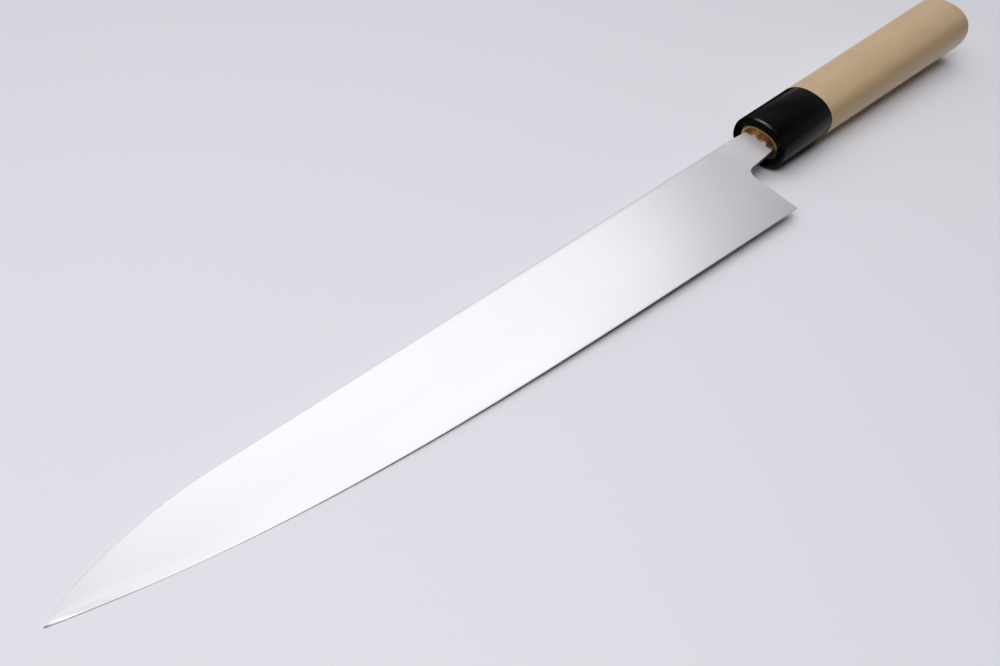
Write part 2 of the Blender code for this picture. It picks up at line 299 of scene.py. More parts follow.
def fillet_points():
    """Arc from the heel's line to the neck's underside."""
    corner_y = neck_line(heel_x(neck_line(HEEL_X)))
    corner = Vector((heel_x(corner_y), corner_y))
    down = Vector((math.tan(HEEL_LEAN), -1.0)).normalized()
    along = Vector((1.0, NECK_RISE / HEEL_TO_FERRULE)).normalized()
    opening = down.angle(along)
    bisector = (down + along).normalized()
    centre = corner + bisector * (NECK_FILLET / math.sin(opening / 2))
    reach = NECK_FILLET / math.tan(opening / 2)
    first = corner + down * reach - centre
    turn = first.angle_signed(corner + along * reach - centre)
    points = []
    for step in range(FILLET_STEPS + 1):
        angle = -turn * step / FILLET_STEPS
        points.append(centre + Matrix.Rotation(angle, 2) @ first)
    return points


# Thickness of the blade

def flat_plane(x, y):
    """Half thickness of the ground flat as an even plane, also beyond its own ends."""
    straight = HEEL_X - POINT_X
    along = (SPINE_THICKNESS - POINT_THICKNESS) / 2 * (HEEL_X - x) / straight
    down = (spine_line(x) - y) * math.tan(FLAT_LEAN)
    return SPINE_THICKNESS / 2 - along - down


def flat_half_thickness(x, y):
    """The same, thinned further from where the spine starts to drop."""
    share = max(0.0, POINT_X - x) / POINT_LENGTH
    tip = TIP_THICKNESS / 2 / flat_plane(TIP_X, edge_y(TIP_X))
    return flat_plane(x, y) * mix(1.0, tip, share ** 2)


def ground_half_thickness(x, y, depth, bevel_y):
    """Half of what the grind leaves at a depth, from the spine at 0 to the edge at 1."""
    half_thickness = flat_half_thickness(x, y)
    if depth <= FLAT_SHARE:
        return half_thickness
    share = (depth - FLAT_SHARE) / (BEVEL_SHARE - FLAT_SHARE)
    fall = flat_half_thickness(x, bevel_y) - BEVEL_THICKNESS / 2
    return half_thickness - fall * share ** 2


def neck_face(x, y):
    """The blade's ground face as it goes on over the neck, then the tang's inside the ferrule."""
    top = spine_line(x)
    depth = (top - y) / HEEL_HEIGHT
    bevel_y = top - HEEL_HEIGHT * BEVEL_SHARE
    wedge = ground_half_thickness(x, y, depth, bevel_y)
    return mix(wedge, tang_half_thickness(x), smooth_step(x / WEDGE_END))


def blade_rows(neck_depth):
    """Rows of the blade's face: depth, and what the spine's and neck's corners cut off."""
    ease = CORNER_EASE / HEEL_HEIGHT
    rows = []
    for step in range(CORNER_STEPS + 1):
        angle = math.pi / 2 * step / CORNER_STEPS
        cut = CORNER_EASE * (1.0 - math.sin(angle))
        rows.append((ease * (1.0 - math.cos(angle)), cut, 0.0))
        rows.append((neck_depth - ease * (1.0 - math.cos(angle)), 0.0, cut))
    rows += [(FLAT_SHARE * step / FLAT_ROWS, 0.0, 0.0) for step in range(1, FLAT_ROWS + 1)]
    for step in range(1, CONVEX_ROWS + 1):
        rows.append((mix(FLAT_SHARE, BEVEL_SHARE, step / CONVEX_ROWS), 0.0, 0.0))
    rows.append((BEVEL_SHARE - BEVEL_BLEND / HEEL_HEIGHT, 0.0, 0.0))
    return sorted(rows)


def blade_station(top_x, edge_x, rows):
    """Left face points of one section, and its point on the edge."""
    top = spine_y(top_x)
    bottom = edge_y(edge_x)
    scale = (top - bottom) / HEEL_HEIGHT
    bevel_y = mix(top, bottom, BEVEL_SHARE)
    points = []
    for depth, cut, _ in rows:
        x = mix(top_x, edge_x, depth)
        y = mix(top, bottom, depth)
        z = ground_half_thickness(x, y, depth, bevel_y)
        points.append(Vector((x, y, z - cut * scale)))
    return points, Vector((edge_x, bottom, 0.0))


def other_side(points):
    return [Vector((x, y, -z)) for x, y, z in reversed(points)]


def neck_sides(heel_face, rows):
    """Left face points of each section from the heel to the end of the tang."""
    last = len(heel_face) - 1
    arc = fillet_points()
    lower = [(point.x, point.y) for point in arc]
    for step in range(1, NECK_STATIONS + 1):
        x = mix(arc[-1].x, 0.0, step / NECK_STATIONS)
        lower.append((x, neck_line(x)))
    for step in range(1, TANG_STATIONS + 1):
        x = (TANG_LENGTH - TANG_POINT_LENGTH) * step / TANG_STATIONS
        lower.append((x, TANG_MIDDLE - tang_half_height(x)))
    lower.append((TANG_LENGTH, TANG_MIDDLE - tang_half_height(TANG_LENGTH)))

    sections = []
    for bottom_x, bottom_y in lower[1:]:
        reach = min(1.0, (bottom_x - arc[0].x) / (arc[-1].x - arc[0].x))
        top_x = mix(heel_face[0].x + bottom_x - arc[0].x, bottom_x, smooth_step(reach))
        top_y = tang_top(top_x) if top_x > -NECK_TAPER_LENGTH else spine_y(top_x)
        section = []
        for depth, cut, neck_cut in rows[:last + 1]:
            share = depth / rows[last][0]
            x = mix(top_x, bottom_x, share)
            y = mix(top_y, bottom_y, share)
            z = neck_face(x, y) - cut - neck_cut * smooth_step(reach)
            section.append(Vector((x, y, z)))
        sections.append(section)
    return sections


def build_blade(material):
    """Blade, neck and tang as one skin over sections, from the point to the tang's end."""
    neck_start = fillet_points()[0]
    top_end = heel_x(spine_line(HEEL_X))
    neck_depth = (spine_y(top_end) - neck_start.y) / HEEL_HEIGHT
    rows = blade_rows(neck_depth)
    neck_row = [row[0] for row in rows].index(neck_depth)
    count = 2 * len(rows) + 1
    points = []
    faces = []
    ring = []
    for step in range(1, BLADE_STATIONS + 1):
        reach = (step / BLADE_STATIONS) ** BLADE_CROWDING
        face, edge = blade_station(mix(TIP_X, top_end, reach), mix(TIP_X, HEEL_X, reach), rows)
        points += face + [edge] + other_side(face)
        following_ring = list(range(len(points) - count, len(points)))
        if ring:
            faces += bridge(ring, following_ring)
        ring = following_ring
    tip = len(points)
    points.append(Vector((TIP_X, edge_y(TIP_X), 0.0)))
    for index in range(count):
        faces.append((index, tip, (index + 1) % count))

    # The heel's end face, below the neck
    faces.append(tuple(ring[neck_row:count - neck_row]))

    # Neck and tang go on from the upper rows of the heel's section
    ring = ring[:neck_row + 1] + ring[count - neck_row - 1:]
    for section in neck_sides(face[:neck_row + 1], rows):
        points += section + other_side(section)
        following_ring = list(range(len(points) - len(ring), len(points)))
        faces += bridge(ring, following_ring)
        ring = following_ring
    faces.append(tuple(ring))
    return place("satin_blade", points, faces, material, BLADE_SHARP_ANGLE)


# Ovals

def squared(value):
    """A sine or cosine drawn out towards its ends: power 2 is an ellipse, more is squarer."""
    return math.copysign(abs(value) ** (2.0 / OVAL_POWER), value)


def oval(x, half_height, half_width, middle=0.0):
    points = []
    for step in range(OVAL_POINTS):
        angle = math.tau * step / OVAL_POINTS
        y = middle + half_height * squared(math.cos(angle))
        points.append(Vector((x, y, half_width * squared(math.sin(angle)))))
    return points


def grip_oval(x, inset=0.0):
    """The handle's oval, which grows from the ferrule's front to the butt."""
    share = x / HANDLE_LENGTH
    half_height = mix(FRONT_HALF_HEIGHT, BUTT_HALF_HEIGHT, share)
    half_width = mix(FRONT_HALF_WIDTH, BUTT_HALF_WIDTH, share)
    return oval(x, half_height - inset, half_width - inset)


def slot(x, gap):
    """A rectangle that clears the tang by a gap, in as many points as an oval."""
    half_height = tang_half_height(x) + gap
    half_width = tang_half_thickness(x) + gap
    points = []

    # An oval that reaches past the corners of a unit square is cut back to that square
    for corner in oval(x, math.sqrt(2.0), math.sqrt(2.0)):
        up = half_height * min(max(corner.y, -1.0), 1.0)
        across = half_width * min(max(corner.z, -1.0), 1.0)
        points.append(Vector((x, TANG_MIDDLE + up, across)))
    return points


def neck_outline(x):
    """The blade's neck in the mouth of the ferrule, in as many points as an oval."""
    points = []
    for corner in slot(x, 0.0):
        across = neck_face(x, corner.y) * corner.z / tang_half_thickness(x)
        points.append(Vector((x, corner.y, across)))
    return points


def rounded_end(x, radius, direction):
    """Rings of a quarter round at an end that faces along x (1) or against it (-1)."""
    rings = []
    for step in range(ROUND_STEPS + 1):
        angle = math.pi / 2 * step / ROUND_STEPS
        along = x - direction * radius * (1.0 - math.sin(angle))
        rings.append(grip_oval(along, radius * (1.0 - math.cos(angle))))
    return rings


def eased_joint(x, direction):
    """The eased corner of ferrule or wood where the two meet."""
    middle = JOINT_EASE * EASE_MIDDLE
    return [
        grip_oval(x - direction * JOINT_EASE),
        grip_oval(x - direction * middle, middle),
        grip_oval(x, JOINT_EASE),
    ]


def bore(x, widening=0.0):
    return oval(x, BORE_HALF_HEIGHT + widening, BORE_HALF_WIDTH + widening)


def build_ferrule(material):
    sections = list(reversed(rounded_end(0.0, FERRULE_ROUND, -1.0)))
    sections += eased_joint(FERRULE_LENGTH, 1.0)
    sections.append(bore(FERRULE_LENGTH))
    sections.append(bore(BORE_EASE))
    sections.append(bore(BORE_EASE * EASE_MIDDLE, BORE_EASE * EASE_MIDDLE))
    sections.append(bore(0.0, BORE_EASE))
    return ring_mesh("horn_ferrule", sections, material, FERRULE_SHARP_ANGLE, True)


def pocket(x):
    """The ragged oval that was burnt or cut into the tenon for the tang."""
    points = []
    for point in oval(x, POCKET_HALF_HEIGHT, POCKET_HALF_WIDTH, TANG_MIDDLE):
        place_on_rim = Vector((0.0, point.y, point.z)) * POCKET_MARKS_PER_METRE
        outward = Vector((0.0, point.y - TANG_MIDDLE, point.z)).normalized()
        points.append(point + outward * POCKET_WOBBLE * noise.noise(place_on_rim))
    return points


def build_handle(material):
    shoulder = FERRULE_LENGTH + JOINT_GAP
    tenon_height = BORE_HALF_HEIGHT - FIT_GAP
    tenon_width = BORE_HALF_WIDTH - FIT_GAP
    pocket_floor = TENON_RECESS + RESIN_DEPTH
    sections = list(reversed(rounded_end(HANDLE_LENGTH, BUTT_ROUND, 1.0)))
    for step in range(1, GRIP_STATIONS):
        sections.append(grip_oval(mix(HANDLE_LENGTH - BUTT_ROUND, shoulder, step / GRIP_STATIONS)))
    sections += eased_joint(shoulder, -1.0)
    sections.append(oval(shoulder, tenon_height, tenon_width))
    sections.append(oval(TENON_RECESS + TENON_EASE, tenon_height, tenon_width))
    rim = oval(TENON_RECESS, tenon_height - TENON_EASE, tenon_width - TENON_EASE)
    inner = pocket(TENON_RECESS)
    for step in range(TENON_STEPS + 1):
        ring = []
        for outside, inside in zip(rim, inner):
            point = outside.lerp(inside, step / TENON_STEPS)
            point.x += TENON_ROUGHNESS * noise.noise(point * TENON_MARKS_PER_METRE)
            ring.append(point)
        sections.append(ring)
    sections.append(pocket(pocket_floor))
    sections.append(slot(pocket_floor, FIT_GAP))
    sections.append(slot(TANG_LENGTH - TANG_POINT_LENGTH, FIT_GAP))
    ends = slot(TANG_LENGTH, FIT_GAP)
    sections.append([Vector((TANG_LENGTH + FIT_GAP, end.y, end.z)) for end in ends])
    return ring_mesh("magnolia_handle", sections, material, HANDLE_SHARP_ANGLE, False)


def build_resin(material):
    """Resin poured round the neck: it sags in its middle, climbs the steel and has an even rim."""
    back = TENON_RECESS + RESIN_DEPTH - FIT_GAP
    outer = pocket(TENON_RECESS)
    inner = neck_outline(TENON_RECESS)
    sections = [pocket(back)]
    for step in range(MOUTH_STEPS + 1):
        share = step / MOUTH_STEPS
        ring = []
        for outside, inside in zip(outer, inner):
            point = outside.lerp(inside, share)
            width = (outside - inside).length
            climb = math.exp(-(1.0 - share) * width / RESIN_CLIMB_WIDTH)
            sag = 4.0 * share * (1.0 - share)
            lumps = noise.noise(point * RESIN_LUMPS_PER_METRE + RESIN_LUMPS_SHIFT)
            point.x += RESIN_SAG * sag - RESIN_CLIMB * climb
            point.x += RESIN_LUMPS * lumps * min(1.0, share / RESIN_RIM_SHARE)
            ring.append(point)
        sections.append(ring)
    sections.append(slot(back, 0.0))
    return ring_mesh("amber_resin_seal", sections, material, RESIN_SHARP_ANGLE, True)


# Materials

# Sockets of a Mix node that mixes colours
MIX_SHARE = 0
MIX_FIRST = 6
MIX_SECOND = 7
MIX_RESULT = 2


def opaque(colour):
    """A grey or a colour as red, green, blue and alpha."""
    if isinstance(colour, (int, float)):
        colour = (colour, colour, colour)
    return (*colour, 1.0)


def fill_ramp(ramp, stops):
    """Sets the stops of a colour ramp; a stop is a position and a grey or a colour."""
    elements = ramp.color_ramp.elements
    while len(elements) < len(stops):
        elements.new(0.5)
    for element, (position, colour) in zip(elements, stops):
        element.position = position
        element.color = opaque(colour)


class Shader:
    """A Principled material whose nodes are added one call at a time."""

    def __init__(self, name):
        self.material = bpy.data.materials.new(name)
        self.material.use_nodes = True
        self.tree = self.material.node_tree
        self.shader = self.tree.nodes["Principled BSDF"]

    def set(self, **values):
        for name, value in values.items():
            socket = name.replace("_", " ").title().replace("Ior", "IOR")
            self.shader.inputs[socket].default_value = value

    def node(self, kind, **settings):
        made = self.tree.nodes.new(kind)
        for name, value in settings.items():
            setattr(made, name, value)
        return made

    def link(self, source, target):
        self.tree.links.new(source, target)

    def stretched(self, scale, shift=(0.0, 0.0, 0.0)):
        """The place on the knife's axes, in metres, times a scale per axis and then shifted."""
        axes = self.node("ShaderNodeAttribute", attribute_name=AXES_ATTRIBUTE)
        mapping = self.node("ShaderNodeMapping")
        mapping.inputs["Scale"].default_value = scale
        mapping.inputs["Location"].default_value = shift
        self.link(axes.outputs["Vector"], mapping.inputs["Vector"])
        return mapping.outputs["Vector"]

    def noise(self, scale, detail=3.0, roughness=0.55, distortion=0.0, shift=(0.0, 0.0, 0.0)):
        """Soft marks between 0 and 1; the scale is marks per metre along x, y and z."""
        made = self.node("ShaderNodeTexNoise")
        made.inputs["Scale"].default_value = 1.0
        made.inputs["Detail"].default_value = detail
        made.inputs["Roughness"].default_value = roughness
        made.inputs["Distortion"].default_value = distortion
        self.link(self.stretched(scale, shift), made.inputs["Vector"])
        return made.outputs["Fac"]

    def ramp(self, source, stops):
        made = self.node("ShaderNodeValToRGB")
        fill_ramp(made, stops)
        self.link(source, made.inputs["Fac"])
        return made.outputs["Color"]

    def blend(self, share, first, second, mode="MIX"):
        """Mixes two colours; share, first and second are numbers, colours or sockets."""
        made = self.node("ShaderNodeMix", data_type="RGBA", blend_type=mode)
        for value, index in ((share, MIX_SHARE), (first, MIX_FIRST), (second, MIX_SECOND)):
            socket = made.inputs[index]
            if isinstance(value, bpy.types.NodeSocket):
                self.link(value, socket)
            elif isinstance(value, tuple):
                socket.default_value = opaque(value)
            else:
                socket.default_value = value
        return made.outputs[MIX_RESULT]

    def tint(self, tone, factor):
        """Multiplies a tone by a grey or a colour."""
        return self.blend(1.0, tone, factor, "MULTIPLY")

    def maths(self, operation, first, second=0.0):
        made = self.node("ShaderNodeMath", operation=operation)
        for value, socket in ((first, made.inputs[0]), (second, made.inputs[1])):
            if isinstance(value, bpy.types.NodeSocket):
                self.link(value, socket)
            else:
                socket.default_value = value
        return made.outputs[0]

    def product(self, first, *others):
        for other in others:
            first = self.maths("MULTIPLY", first, other)
        return first

    def axis(self, name, shift=(0.0, 0.0, 0.0)):
        """The place on one of the knife's axes, in metres, and shifted if a shift is given."""
        parts = self.node("ShaderNodeSeparateXYZ")
        self.link(self.stretched((1.0, 1.0, 1.0), shift), parts.inputs[0])
        return parts.outputs[name]

    def fade(self, source, span, values=(0.0, 1.0)):
        """Goes softly from the first value to the last as the source crosses a span."""
        made = self.node("ShaderNodeMapRange", interpolation_type="SMOOTHSTEP")
        limits = zip(("From Min", "From Max", "To Min", "To Max"), (*span, *values))
        for name, value in limits:
            made.inputs[name].default_value = value
        self.link(source, made.inputs["Value"])
        return made.outputs["Result"]

    def facing(self, direction):
        """The cosine between the true face and a direction."""
        geometry = self.node("ShaderNodeNewGeometry")
        product = self.node("ShaderNodeVectorMath", operation="DOT_PRODUCT")
        product.inputs[1].default_value = direction
        self.link(geometry.outputs["True Normal"], product.inputs[0])
        return product.outputs["Value"]

    def bump(self, height, strength, distance):
        made = self.node("ShaderNodeBump")
        made.inputs["Strength"].default_value = strength
        made.inputs["Distance"].default_value = distance
        self.link(height, made.inputs["Height"])
        self.link(made.outputs["Normal"], self.shader.inputs["Normal"])


# Steel: marks per metre, and the spans along the knife that its tones change over
STEEL_LINES = (90.0, 5200.0, 5200.0)
STEEL_GRAIN = (2600.0, 3600.0, 3600.0)
STEEL_GRAIN_SHARE = 0.35
STEEL_CLOUDS = (26.0, 60.0, 60.0)
NECK_PAINTED_LIGHT = (-0.022, -0.004)
COARSE_NECK = (-0.017, -0.006)
BRIGHT_HEEL_END = (-0.100, -0.145)
BRIGHT_POINT_END = (-0.255, -0.225)
# Over the next two spans the point's thin face and bevel are darkened with painted shade
SHADED_FACE_START = (-0.245, -0.275)
SHADED_BEVEL_START = (-0.150, -0.200)
THROAT_START = (-0.0185, -0.0160)

# Cosines between the steel's face and straight down from the spine to the edge
BELOW_FLAT = (0.018, 0.048)
NEAR_BEVEL = (0.08, 0.12)
THIN_FACE = (0.045, 0.085)
BEVEL_FACE = (0.10, 0.16)
UNDERSIDE = (0.50, 0.85)


def steel_material():
    steel = Shader("satin_steel")
    steel.set(metallic=1.0)
    along = steel.axis("X")
    down = steel.facing(-knife.col[1].xyz)
    lines = steel.noise(STEEL_LINES, detail=4.0, roughness=0.6)
    grain = steel.noise(STEEL_GRAIN, detail=2.0)
    marks = steel.maths("ADD", steel.maths("MULTIPLY", lines, 1.0 - STEEL_GRAIN_SHARE),
                        steel.maths("MULTIPLY", grain, STEEL_GRAIN_SHARE))
    tone = steel.ramp(marks, [(0.3, (0.617, 0.615, 0.621)), (0.7, (0.635, 0.632, 0.637))])
    clouds = steel.noise(STEEL_CLOUDS)
    tone = steel.tint(tone, steel.ramp(clouds, [(0.3, (0.985, 0.98, 0.99)), (0.7, 1.0)]))

    # The neck is painted paler than the blade as a painted highlight, and its finish is coarser
    tone = steel.tint(tone, steel.fade(along, NECK_PAINTED_LIGHT, (1.0, 1.20)))
    coarse = steel.fade(along, COARSE_NECK, (0.0, 0.5))

    # The lower face of the blade's middle gets a painted highlight, brighter than the flat
    painted_highlight = steel.product(steel.fade(down, BELOW_FLAT, (0.0, 0.09)),
                         steel.fade(along, BRIGHT_HEEL_END),
                         steel.fade(along, BRIGHT_POINT_END),
                         steel.fade(down, NEAR_BEVEL, (1.0, 0.0)))
    tone = steel.tint(tone, steel.maths("ADD", painted_highlight, 1.0))

    # Towards the point the thin edge and the face just above it are darkened with painted shade
    painted_shade_face = steel.product(steel.fade(down, THIN_FACE, (0.0, 0.28)),
                              steel.fade(along, SHADED_FACE_START))
    painted_shade_bevel = steel.product(steel.fade(down, BEVEL_FACE, (0.0, 0.55)),
                               steel.fade(along, SHADED_BEVEL_START))
    tone = steel.blend(steel.maths("MAXIMUM", painted_shade_face, painted_shade_bevel), tone, (0.0, 0.0, 0.0))

    # The throat and the lower side of the neck are darkened with painted shade
    throat_painted_shade = steel.product(steel.fade(down, UNDERSIDE, (0.0, 0.92)),
                           steel.fade(along, THROAT_START))
    steel.link(steel.blend(throat_painted_shade, tone, (0.05, 0.05, 0.055)), steel.shader.inputs["Base Color"])

    rough = steel.maths("ADD", steel.ramp(marks, [(0.25, 0.275), (0.75, 0.305)]), coarse)
    steel.link(rough, steel.shader.inputs["Roughness"])
    steel.bump(marks, strength=0.08, distance=0.00001)
    return steel.material


# Horn: marks per metre, and the spans up the knife or along it where its polish changes
HORN_STREAKS = (55.0, 700.0, 700.0)
HORN_CLOUDS = (60.0, 90.0, 90.0)
HORN_SCUFFS = (900.0, 2600.0, 2600.0)
WORN_TOP = (0.0072, 0.0095)
POLISHED_LOW_SIDE = (-0.0065, -0.0095)
POLISHED_RIM_START = (0.00002, 0.0002)
POLISHED_RIM_END = (0.0006, 0.0013)
POLISHED_RIM_FOOT = (-0.0036, 0.0010)
POLISHED_RIM_TOP = (0.0025, 0.0070)


def horn_material():
    horn = Shader("polished_black_horn")
    horn.set(ior=1.10, coat_roughness=0.08, coat_ior=1.85)
    along = horn.axis("X")
    height = horn.axis("Y")
    streaks = horn.noise(HORN_STREAKS, detail=4.0, roughness=0.6, distortion=0.4)
    dark = horn.ramp(streaks, [(0.35, (0.0012, 0.0016, 0.0018)), (0.62, (0.0022, 0.0024, 0.0028)),
                               (0.8, (0.007, 0.0045, 0.0045))])
    brown = horn.ramp(horn.noise(HORN_CLOUDS), [(0.5, 0.0), (0.8, (0.004, 0.001, 0.001))])
    horn.link(horn.blend(1.0, dark, brown, "ADD"), horn.shader.inputs["Base Color"])

    # The spine's side is worn matt
    scuffs = horn.ramp(horn.noise(HORN_SCUFFS, detail=4.0), [(0.35, 0.11), (0.75, 0.18)])
    rough = horn.maths("ADD", scuffs, horn.fade(height, WORN_TOP, (0.0, 0.8)))
    horn.link(rough, horn.shader.inputs["Roughness"])

    # The rounding above the mouth and the edge's side have kept a brighter polish
    rounding = horn.product(horn.fade(along, POLISHED_RIM_START),
                            horn.fade(along, POLISHED_RIM_END, (1.0, 0.0)),
                            horn.fade(height, POLISHED_RIM_FOOT),
                            horn.fade(height, POLISHED_RIM_TOP, (1.0, 0.0)))
    side = horn.fade(height, POLISHED_LOW_SIDE, (0.0, 0.085))
    horn.link(horn.maths("ADD", rounding, side), horn.shader.inputs["Coat Weight"])
    horn.bump(streaks, strength=0.06, distance=0.00004)
    return horn.material


# Wood: marks per metre, the rings, and the spans on the knife's axes where its tones change
WOOD_WARP = (14.0, 60.0, 60.0)
WOOD_FIBRES = (75.0, 2600.0, 2600.0)
WOOD_BLOTCHES = (38.0, 120.0, 120.0)
WOOD_PORES = (700.0, 5200.0, 5200.0)
WOOD_PORES_SHIFT = (0.4, 0.0, 0.0)
TENON_STAINS = (900.0, 1500.0, 1500.0)
BUTT_VESSELS = (900.0, 6500.0, 6500.0)
RING_CENTRE_SHIFT = (0.0, 0.055, 0.034)
RINGS_PER_METRE = 460.0
RING_WARP = 2.6
SHADED_FLANK_LOW = (-0.0070, -0.0108)
SHADED_FLANK_LEFT = (-0.001, 0.004)
INSIDE_FERRULE = (0.005, 0.003)
LIT_TENON_TOP = (0.0072, 0.0086)
SHADED_TENON_FOOT = (-0.0046, -0.0020)
FOOT_SLANT_Y = 0.6
FOOT_SLANT_Z = 0.8
FLANK_SHADE_TINT = (0.82, 0.78, 0.67)
BUTT_TINT = (0.80, 0.75, 0.66)
TENON_TINT = (0.74, 0.80, 0.42)
WHITE = (1.0, 1.0, 1.0)


def growth_rings(wood):
    """Bands round an axis that lies beside the handle and runs along it."""
    across = wood.maths("POWER", wood.axis("Y", RING_CENTRE_SHIFT), 2.0)
    through = wood.maths("POWER", wood.axis("Z", RING_CENTRE_SHIFT), 2.0)
    radius = wood.maths("SQRT", wood.maths("ADD", across, through))
    warp = wood.noise(WOOD_WARP, detail=2.0)
    rings = wood.maths("ADD", wood.maths("MULTIPLY", radius, RINGS_PER_METRE),
                       wood.maths("MULTIPLY", warp, RING_WARP))
    return wood.ramp(wood.maths("FRACT", rings),
                     [(0.0, 0.93), (0.55, 1.0), (0.88, 0.88), (1.0, 0.93)])


def end_grain_tone(wood, tone, band):
    """End grain soaks up oil and dust, so it is darker than the wood's long sides; in the mouth it
    also carries painted shade and painted light.
    """
    height = wood.axis("Y")
    inside = wood.fade(wood.axis("X"), INSIDE_FERRULE)
    soaked = wood.tint(tone, wood.blend(inside, BUTT_TINT, TENON_TINT))

    # The tenon in the ferrule's mouth is stained, and the butt shows vessels and rings
    stains = wood.ramp(wood.noise(TENON_STAINS), [(0.35, 0.64), (0.6, 1.0)])
    vessels = wood.ramp(wood.noise(BUTT_VESSELS, detail=2.0), [(0.35, 0.80), (0.55, 1.0)])
    arcs = wood.tint(vessels, wood.blend(0.9, WHITE, band))
    soaked = wood.tint(soaked, wood.blend(inside, arcs, stains))

    # The tenon is darkened with painted shade below the neck, and brightened with painted light at
    # its top
    foot = wood.maths("ADD", wood.maths("MULTIPLY", height, FOOT_SLANT_Y),
                      wood.maths("MULTIPLY", wood.axis("Z"), FOOT_SLANT_Z))
    mouth_painted_light = wood.product(wood.fade(foot, SHADED_TENON_FOOT, (0.10, 1.0)),
                         wood.fade(height, LIT_TENON_TOP, (1.0, 1.7)))
    return wood.tint(soaked, wood.blend(inside, WHITE, mouth_painted_light))


def wood_material():
    wood = Shader("sanded_magnolia")
    wood.set(ior=1.5)
    fibres = wood.noise(WOOD_FIBRES, detail=5.0, roughness=0.62)
    blotches = wood.noise(WOOD_BLOTCHES, detail=4.0)
    pores = wood.noise(WOOD_PORES, detail=2.0, shift=WOOD_PORES_SHIFT)
    band = growth_rings(wood)
    tone = wood.ramp(fibres, [(0.3, (0.622, 0.450, 0.262)), (0.5, (0.650, 0.475, 0.280)),
                              (0.72, (0.672, 0.496, 0.298))])
    tone = wood.tint(tone, wood.ramp(blotches, [(0.3, (0.93, 0.915, 0.88)), (0.7, 1.03)]))
    tone = wood.blend(0.25, tone, wood.tint(tone, band))
    dots = wood.ramp(pores, [(0.64, 1.0), (0.76, 0.74)])
    tone = wood.blend(0.6, tone, wood.tint(tone, dots))

    # The flank on the edge's side is darkened with painted shade
    flank_painted_shade = wood.product(wood.fade(wood.axis("Y"), SHADED_FLANK_LOW),
                         wood.fade(wood.axis("Z"), SHADED_FLANK_LEFT),
                         wood.ramp(blotches, [(0.35, 0.55), (0.6, 1.0)]))
    tone = wood.blend(flank_painted_shade, tone, wood.tint(tone, FLANK_SHADE_TINT))

    # Faces across the grain show the rings and are matt
    across_grain = wood.maths("ABSOLUTE", wood.facing(knife.col[0].xyz))
    end = wood.ramp(across_grain, [(0.55, 0.0), (0.95, 1.0)])
    tone = wood.blend(end, tone, end_grain_tone(wood, tone, band))
    wood.link(tone, wood.shader.inputs["Base Color"])
    rough = wood.blend(end, wood.ramp(fibres, [(0.3, 0.27), (0.7, 0.36)]), (0.85, 0.85, 0.85))
    wood.link(rough, wood.shader.inputs["Roughness"])
    height = wood.maths("ADD", fibres, wood.maths("MULTIPLY", pores, -0.6))
    wood.bump(height, strength=0.15, distance=0.00003)
    return wood.material


# Resin: marks per metre, and the spans on the knife's axes where its tones change
RESIN_MARKS = (500.0, 420.0, 420.0)
RESIN_FLECKS = (700.0, 480.0, 480.0)
RESIN_FLECKS_SHIFT = (0.2, 0.0, 0.0)
RESIN_GRAIN = (1500.0, 1500.0, 1500.0)
SHADED_RESIN_FOOT = (-0.0045, 0.0)
FLECKS_AT_STEEL = (0.0020, 0.0014)
FLECKS_FOOT = (-0.0036, -0.0028)
FLECKS_TOP = (0.0048, 0.0036)
FLECK_COLOUR = (0.72, 0.52, 0.36)


def resin_material():
    resin = Shader("amber_resin")
    resin.set(ior=1.28, roughness=0.16)
    height = resin.axis("Y")
    marks = resin.noise(RESIN_MARKS, detail=4.0, distortion=0.6)
    tone = resin.ramp(marks, [(0.3, (0.12, 0.036, 0.005)), (0.45, (0.225, 0.090, 0.012)),
                              (0.58, (0.35, 0.160, 0.032)), (0.75, (0.60, 0.36, 0.16))])

    # It is darkened with painted shade towards the neck's foot, and thin and pale in flecks where
    # it meets the steel
    tone = resin.tint(tone, resin.fade(height, SHADED_RESIN_FOOT, (0.22, 1.0)))
    flecks = resin.ramp(resin.noise(RESIN_FLECKS, detail=2.0, shift=RESIN_FLECKS_SHIFT),
                        [(0.48, 0.0), (0.58, 1.0)])
    pale = resin.product(flecks, resin.fade(resin.axis("Z"), FLECKS_AT_STEEL),
                         resin.fade(height, FLECKS_FOOT), resin.fade(height, FLECKS_TOP))
    resin.link(resin.blend(pale, tone, FLECK_COLOUR), resin.shader.inputs["Base Color"])
    resin.bump(resin.noise(RESIN_GRAIN), strength=0.35, distance=0.00008)
    return resin.material


# Floor, lights and camera

FLOOR_REACH = 12.0
FLOOR_COLOUR = (0.839, 0.853, 0.890)

# Both lamps look down from one metre up, and are turned alike about the vertical
LAMP_HEIGHT = 1.0
LAMP_TURN = math.radians(-20.0)
LAMP_COLOUR = (1.0, 0.985, 0.992)

# Radiance of the room over the cosine of the angle to its bright side
ROOM_BRIGHT_SIDE = (0.081, 0.441, 0.894)
ROOM_LEVELS = [(0.45, 0.0), (0.60, 0.10), (0.75, 0.84), (0.90, 0.60), (1.0, 0.70)]
ROOM_COLOUR = (0.97, 0.955, 1.03)
BACKDROP_LEVEL = 0.30

# The camera's place and turn were fitted on the outline of the knife; its shift is half a pixel
CAMERA_PLACE = Vector((-0.22339, -0.09951, 0.18469))
CAMERA_YAW = math.radians(41.763)
CAMERA_PITCH = math.radians(55.981)
CAMERA_ROLL = math.radians(2.588)
FOCAL_SHARE = 0.68712
SENSOR_WIDTH = 36.0
CAMERA_SHIFT = 0.0005
CAMERA_CLIP_START = 0.01


def floor_material():
    floor = Shader("pale_floor")
    floor.set(base_color=opaque(FLOOR_COLOUR), roughness=0.55)
    return floor.material


